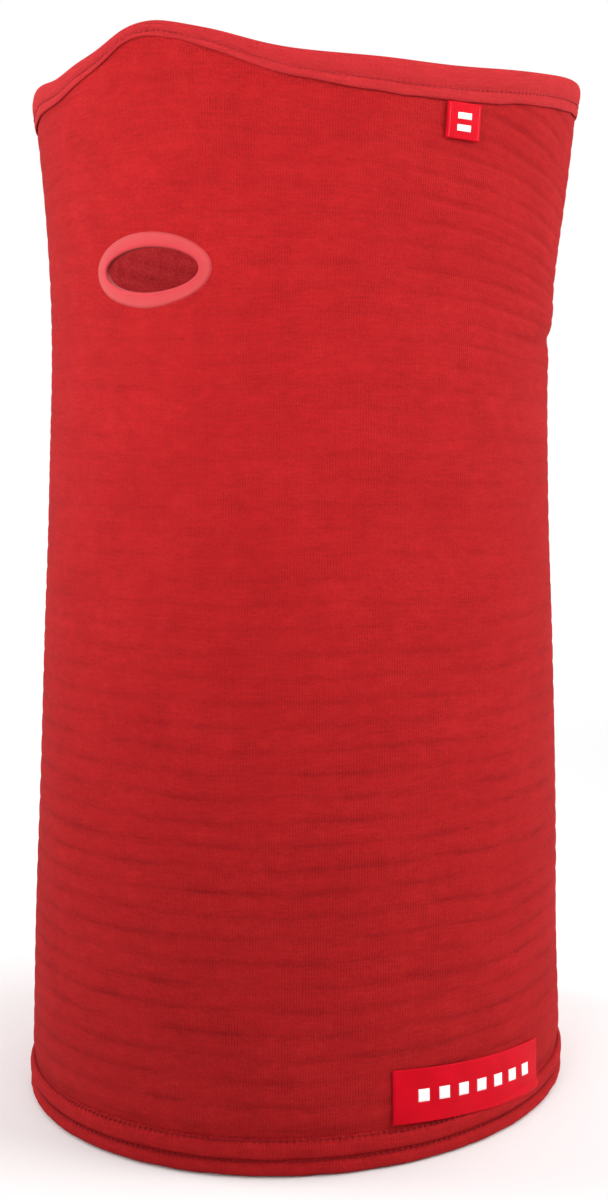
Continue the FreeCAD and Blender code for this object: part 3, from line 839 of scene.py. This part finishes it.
def zigzag_ring(name, count, z_mid, half, off):
    i = np.arange(count * per)
    d = i / (count * per) * 360.0 - 180.0
    s = 2 * np.abs(((i / per) % 1.0) - 0.5) * 2 - 1
    s = np.sin(s * math.pi / 2)
    z = z_mid(d) + s * half(d)
    lift = 0.16 * np.cos(2 * math.pi * i / per * 2)
    p = place(d, z, off(d) + lift)
    return strand(name, p, -outward(d, z), 0.17 * MM, looper_thread, True)


hem_loop = zigzag_ring("hem_cover_inside", n_st // 2, lambda d: 7.4 + 0 * d, lambda d: 2.8 + 0 * d,
                       lambda d: -3.66 + HEM_DENT * dent(d, 7.4 + 0 * d))
bind_loop = zigzag_ring("binding_cover_inside", n_bs // 2, z_row, lambda d: 0.115 * depth(d),
                        lambda d: -2.86 + 0 * d)


def merge(name, obs):
    me = bpy.data.meshes.new(name)
    bm = bmesh.new()
    for o in obs:
        bm.from_mesh(o.data)
    bm.to_mesh(me)
    bm.free()
    for x in obs[0].data.materials:
        me.materials.append(x)
    ob = bpy.data.objects.new(name, me)
    bpy.context.collection.objects.link(ob)
    for o in obs:
        bpy.data.objects.remove(o, do_unlink=True)
    return ob


def nape_seam(name, side, z0, z1):
    """flatlock: a zigzag cover between two straight rows of stitches"""
    count = int((z1 - z0) / 1.7)
    i = np.arange(count * per)
    z = z0 + (z1 - z0) * i / (count * per)
    s = 2 * np.abs(((i / per) % 1.0) - 0.5) * 2 - 1
    d = 180.0 + np.degrees(2.05 * np.sin(s * math.pi / 2) / 84.0)
    base = outer_offset(d, z) + 0.22 if side > 0 else -WALL - 1.0 + 0 * z
    n = outward(d, z) * side
    obs = [strand(name + "_a", place(d, z, base), n, 0.19 * MM, looper_thread, False)]
    zz = z0 + (np.arange(count) + 0.5) / count * (z1 - z0)
    for x in (-2.3, 0.0, 2.3):
        dd = np.full(count, 180.0 + math.degrees(x / 84.0))
        off = outer_offset(dd, zz) + 0.30 if side > 0 else -WALL - 1.12 + 0 * zz
        obs.append(beads(name + "_b", place(dd, zz, off), np.tile([0, 0, 1.0], (count, 1)), outward(dd, zz) * side,
                         1.32 * MM, 0.42 * MM, 0.36 * MM, looper_thread))
    return merge(name, obs)


z_nape = float(z_top(180.0) - depth(180.0))
seam_out = nape_seam("nape_flatlock_outside", 1, ROW_HIGH + 0.8, z_nape - 0.4)
seam_in = nape_seam("nape_flatlock_inside", -1, 13.8, z_nape - 0.4)

# ------------------------------------------------------------- labels


def slab_mesh(name, F, nu, nv, thick, mat, width_mm, height_mm, bevel=0.12):
    """thin cloth piece. F(s, t, h) -> point, s,t in 0..1, h 0 back to 1 face"""
    s = np.linspace(0, 1, nu)
    t = np.linspace(0, 1, nv)
    S, Tt = np.meshgrid(s, t, indexing="xy")
    edge = np.minimum(np.minimum(S, 1 - S) * width_mm, np.minimum(Tt, 1 - Tt) * height_mm)
    soft = 1 - np.clip(1 - edge / 0.25, 0, 1) ** 2
    mid = 0.5
    face = F(S, Tt, mid + 0.5 * (0.35 + 0.65 * soft))
    back = F(S, Tt, mid - 0.5 * (0.35 + 0.65 * soft))
    P = np.concatenate([face.reshape(-1, 3), back.reshape(-1, 3)])
    f = grid_faces(nv, nu, wrap_cols=False)
    g = f[:, ::-1] + nu * nv
    rim = []
    loop = ([(0, j) for j in range(nu)] + [(i, nu - 1) for i in range(1, nv)]
            + [(nv - 1, j) for j in range(nu - 2, -1, -1)] + [(i, 0) for i in range(nv - 2, 0, -1)])
    ids = [i * nu + j for i, j in loop]
    for a, b in zip(ids, ids[1:] + ids[:1]):
        rim.append([b, a, a + nu * nv, b + nu * nv])
    A = np.concatenate([f, g, np.array(rim)])
    U = np.concatenate([(S * width_mm).ravel()] * 2)
    V = np.concatenate([(Tt * height_mm).ravel()] * 2)
    ob = new_mesh(name, P, A, np.stack([U[A], V[A]], -1))
    return only(ob, mat)


# hem label, sewn flat
HLW = arc(lab1 - lab0) * 1.02
HLH = 15.6


def hem_label_low(d):
    return 12.2 - 5.0 * (d - lab0) / (lab1 - lab0)


def hem_label_point(S, Tt, H):
    d = lab0 + (lab1 - lab0) * S
    z = hem_label_low(d) + HLH * Tt
    ripple = 0.10 * np.sin(S * 23.0 + 1.3 * Tt) * (1 - Tt) + 0.06 * np.sin(S * 9.0 + 4 * Tt)
    press = -0.16 * np.exp(-((z - ROW_HIGH) / 0.5) ** 2)
    over = np.exp(-((z - 8.6) / 1.6) ** 2) * 0.40
    off = 0.30 + ripple + press + over + 0.42 * H + 0.5 * dent(d, z)
    return place(d, z, off)


hem_label = slab_mesh("hem_label_cloth", hem_label_point, 130, 44, 0.4, label_red, HLW, HLH)


def figure(name, F, boxes, mat, w, h, lift):
    """small raised woven blocks on a label; boxes in mm (x0, x1, y0, y1)"""
    obs = []
    for i, (x0, x1, y0, y1) in enumerate(boxes):
        nu, nv = max(4, int((x1 - x0) / 0.45)), max(4, int((y1 - y0) / 0.45))

        def g(S, Tt, H, x0=x0, x1=x1, y0=y0, y1=y1):
            return F((x0 + (x1 - x0) * S) / w, (y0 + (y1 - y0) * Tt) / h, lift[0] + (lift[1] - lift[0]) * H)
        obs.append(slab_mesh("%s_%d" % (name, i), g, nu, nv, 0.1, mat, x1 - x0, y1 - y0))
    return merge(name, obs)


# a plain row of equal blocks
blocks = []
for i in range(7):
    xm = HLW * (0.165 + 0.70 * i / 6.0)
    blocks.append((xm - 1.75, xm + 1.75, 6.0, 9.6))
hem_figure = figure("hem_label_figure", hem_label_point, blocks, label_white, HLW, HLH, (0.85, 1.22))

# top tab, hanging from the binding's lower edge
tab_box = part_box("top_label_tab")
TA = 63.6
TW, TH = 12.0, 9.8
z_hang = float(z_top(TA) - depth(TA)) - 0.45


def tab_point(S, Tt, H):
    """t 1 at the sewn edge, 0 at the free one"""
    z = z_hang - TH * (1 - Tt)
    base = place(np.full(np.shape(S), TA), z, 0.58 + 0.42 * H + 0.18 * np.sin(math.pi * Tt) * 0.6)
    n = outward(np.full(np.shape(S), TA), z)
    side = np.stack([-n[..., 1], n[..., 0], 0 * n[..., 0]], -1)
    lateral = (S - 0.5) * TW + 0.12 * (1 - Tt)
    curl = -0.16 * (2 * (S - 0.5)) ** 2 + 0.05 * np.sin(S * 7 + Tt * 5)
    skew = 0.22 * (S - 0.5) * (1 - Tt)
    p = base + side * (lateral * MM)[..., None] + n * (curl * MM)[..., None]
    p[..., 2] -= skew * MM
    return p


tab = slab_mesh("top_tab_cloth", tab_point, 44, 36, 0.4, label_red, TW, TH)
tab_figure = figure("top_tab_figure", tab_point, [(3.6, 8.4, 2.2, 3.9), (3.6, 8.4, 5.4, 7.1)], label_white, TW, TH, (0.85, 1.24))
picks = []
for x in (0.75, TW - 0.95):
    for i in range(14):
        y = 0.5 + i * 0.64
        picks.append((x, x + 0.24, y, y + 0.34))
tab_edge = figure("top_tab_selvedge", tab_point, picks, label_edge, TW, TH, (0.85, 1.16))

# care label: a folded loop of white satin, caught in the nape seam
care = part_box("care_label")
care_lo, care_hi = Vector(care[0]), Vector(care[1])
CW, CH = 24.0, 34.0
LEAN = math.radians(14.0)
root = np.array([0.0, care_hi.y, care_lo.z])


def care_point(layer):
    def F(S, Tt, H):
        a = np.array([math.cos(LEAN), -math.sin(LEAN), 0.0])
        b = np.array([-math.sin(LEAN), -math.cos(LEAN), 0.0])
        # two leaves joined by the fold at the free edge
        gap = 0.34 * np.sqrt(np.clip(1 - np.clip((S - 0.93) / 0.07, 0, 1) ** 2, 0, 1)) * np.clip(S / 0.1, 0.3, 1)
        w = 0.25 + 0.5 * layer * gap + 0.10 * (H - 0.5) + 0.30 * np.sin(S * 3.0) * np.sin(Tt * 2.5) * S * 0.5
        p = root + np.stack([S * 0 + a[0], S * 0 + a[1], S * 0], -1) * ((3.0 + S * (CW - 3.4)) * MM)[..., None]
        p = p + np.stack([S * 0 + b[0], S * 0 + b[1], S * 0], -1) * (w * MM)[..., None]
        p[..., 2] += Tt * CH * MM
        return p
    return F


leaf_a = slab_mesh("care_leaf_a", care_point(-1), 30, 40, 0.1, care_white, CW, CH)
leaf_b = slab_mesh("care_leaf_b", care_point(1), 30, 40, 0.1, care_white, CW, CH)
care_cloth = merge("care_label_cloth", [leaf_a, leaf_b])
care_rule = figure("care_label_rules", care_point(1), [(2.5, 21.5, 5.0, 5.25), (2.5, 21.5, 28.6, 28.85)],
                   care_line, CW, CH, (0.9, 1.6))

# ------------------------------------------------------------- who stands for what, and moves with what
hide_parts("knit_tube_panel")
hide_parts("knit_tube_panel")
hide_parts("top_edge_binding")
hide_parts("breathing_hole_ring")
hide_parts("hem_upper_needle_thread")
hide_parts("hem_lower_needle_thread")
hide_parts("hem_looper_thread")
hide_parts("binding_needle_thread")
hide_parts("binding_looper_thread")
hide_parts("nape_seam_cover_thread")
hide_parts("nape_seam_looper_thread")
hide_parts("hem_label")
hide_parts("top_label_tab")
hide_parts("care_label")

for o in (cloth, seam_out, seam_in):
    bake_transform(o)
for o in (hem, stitch_hi, stitch_lo, hem_loop, hem_label, hem_figure):
    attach(o, "neck_tube")
for o in (binding, ring, stitch_bind, bind_loop):
    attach(o, "face_edge")
for o in (tab, tab_figure, tab_edge):
    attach(o, "top_label")
for o in (care_cloth, care_rule):
    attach(o, "care_flap")

# ------------------------------------------------------------- studio
floor_me = bpy.data.meshes.new("studio_floor")
bm = bmesh.new()
bmesh.ops.create_grid(bm, x_segments=2, y_segments=2, size=60.0)
bm.to_mesh(floor_me)
bm.free()
floor = bpy.data.objects.new("studio_floor", floor_me)
bpy.context.collection.objects.link(floor)
floor.location = (0, 0, -0.0002)
fm = bpy.data.materials.new("studio_floor_glowing_paper")
fm.use_nodes = True
pb = fm.node_tree.nodes["Principled BSDF"]
pb.inputs["Base Color"].default_value = (0.82, 0.82, 0.82, 1)
pb.inputs["Roughness"].default_value = 0.9
pb.inputs["Specular IOR Level"].default_value = 0.1
fn, fl = fm.node_tree.nodes, fm.node_tree.links
# painted light: the floor glows, its emission rising with distance from the object and strongest behind it as the
# camera sees it, so the far floor matches the white backdrop
ftc = fn.new("ShaderNodeTexCoord")
flen = fn.new("ShaderNodeVectorMath")
flen.operation = "LENGTH"
fl.new(ftc.outputs["Object"], flen.inputs[0])
fmr = fn.new("ShaderNodeMapRange")
fmr.interpolation_type = "SMOOTHSTEP"
fmr.inputs["From Min"].default_value = 0.20
fmr.inputs["From Max"].default_value = 1.10
fmr.inputs["To Max"].default_value = 0.42
fl.new(flen.outputs["Value"], fmr.inputs["Value"])
fdir = fn.new("ShaderNodeVectorMath")
fdir.operation = "NORMALIZE"
fl.new(ftc.outputs["Object"], fdir.inputs[0])
fdot = fn.new("ShaderNodeVectorMath")
fdot.operation = "DOT_PRODUCT"
fdot.inputs[1].default_value = (-math.sin(PHI), math.cos(PHI), 0.0)
fl.new(fdir.outputs["Vector"], fdot.inputs[0])
fside = fn.new("ShaderNodeMapRange")
fside.interpolation_type = "SMOOTHSTEP"
fside.inputs["From Min"].default_value = -0.6
fside.inputs["From Max"].default_value = 0.5
fl.new(fdot.outputs["Value"], fside.inputs["Value"])
fglow = fn.new("ShaderNodeMath")
fglow.operation = "MULTIPLY"
fl.new(fmr.outputs["Result"], fglow.inputs[0])
fl.new(fside.outputs["Result"], fglow.inputs[1])
pb.inputs["Emission Color"].default_value = (1, 1, 1, 1)
fl.new(fglow.outputs["Value"], pb.inputs["Emission Strength"])
floor_me.materials.append(fm)

world = bpy.data.worlds.new("studio_world")
bpy.context.scene.world = world
world.use_nodes = True
bg = world.node_tree.nodes["Background"]
wn, wl = world.node_tree.nodes, world.node_tree.links
# a white paper backdrop behind the object, fading to a dimmer room at the sides and in front
BACK, SIDE, ROOM = 1.0, 1.0, 0.60
tc = wn.new("ShaderNodeTexCoord")
dot = wn.new("ShaderNodeVectorMath")
dot.operation = "DOT_PRODUCT"
dot.inputs[1].default_value = (-math.sin(PHI), math.cos(PHI), 0.0)
wl.new(tc.outputs["Generated"], dot.inputs[0])
level = None
for tag, lo, hi in (("side", -0.35, 0.55), ("back", 0.55, 0.90)):
    mr = wn.new("ShaderNodeMapRange")
    mr.interpolation_type = "SMOOTHSTEP"
    mr.inputs["From Min"].default_value = lo
    mr.inputs["From Max"].default_value = hi
    wl.new(dot.outputs["Value"], mr.inputs["Value"])
    mx = wn.new("ShaderNodeMix")
    mx.name = "mix_" + tag
    mx.data_type = "FLOAT"
    wl.new(mr.outputs["Result"], mx.inputs[0])
    if level is None:
        mx.inputs[2].default_value = ROOM
        mx.inputs[3].default_value = SIDE
    else:
        wl.new(level, mx.inputs[2])
        mx.inputs[3].default_value = BACK
    level = mx.outputs[0]
bg.inputs[0].default_value = (1.0, 1.0, 1.0, 1)
wl.new(level, bg.inputs[1])


def area_light(name, where, target, size, power, colour=(1, 1, 1), size_y=None, spread=180):
    d = bpy.data.lights.new(name, "AREA")
    d.energy = power
    d.color = colour
    d.shape = "RECTANGLE"
    d.size = size
    d.size_y = size_y or size
    d.spread = math.radians(spread)
    o = bpy.data.objects.new(name, d)
    bpy.context.collection.objects.link(o)
    o.location = where
    o.rotation_euler = (Vector(target) - Vector(where)).to_track_quat("-Z", "Y").to_euler()
    return o


def around(angle_deg, dist, z):
    """place round the object, angle measured from the camera's own direction"""
    a = PHI + math.radians(angle_deg)
    return (dist * math.sin(a), -dist * math.cos(a), z)


area_light("key_high", around(12, 0.45, 0.85), (0, 0, 0.30), 0.34, 0.15, spread=60)
area_light("key_face", around(-25, 0.50, 0.36), (0, 0, 0.26), 0.30, 0.42, spread=60)
area_light("side_left", around(-100, 0.8, 0.50), (0, 0, 0.22), 0.5, 2.25, size_y=0.9, spread=110)
area_light("side_right", around(96, 0.8, 0.58), (0, 0, 0.27), 0.5, 1.65, size_y=0.9, spread=100)
area_light("side_near", around(70, 0.7, 0.50), (0, 0, 0.25), 0.4, 0.95, size_y=0.6, spread=80)

# ------------------------------------------------------------- camera
D = 0.5442
cam_data = bpy.data.cameras.new("camera")
cam = bpy.data.objects.new("camera", cam_data)
bpy.context.collection.objects.link(cam)
cam_data.sensor_fit = "VERTICAL"
cam_data.sensor_height = 36.0
cam_data.lens = 51.0
cam_data.clip_start = 0.01
cam_data.clip_end = 50.0
cam.location = (D * math.sin(PHI), -0.0007 - D * math.cos(PHI), 0.206)
cam.rotation_euler = (math.radians(90.0 - 5.71), 0.0, PHI)
bpy.context.scene.camera = cam
bpy.context.scene.view_settings.view_transform = "Standard"
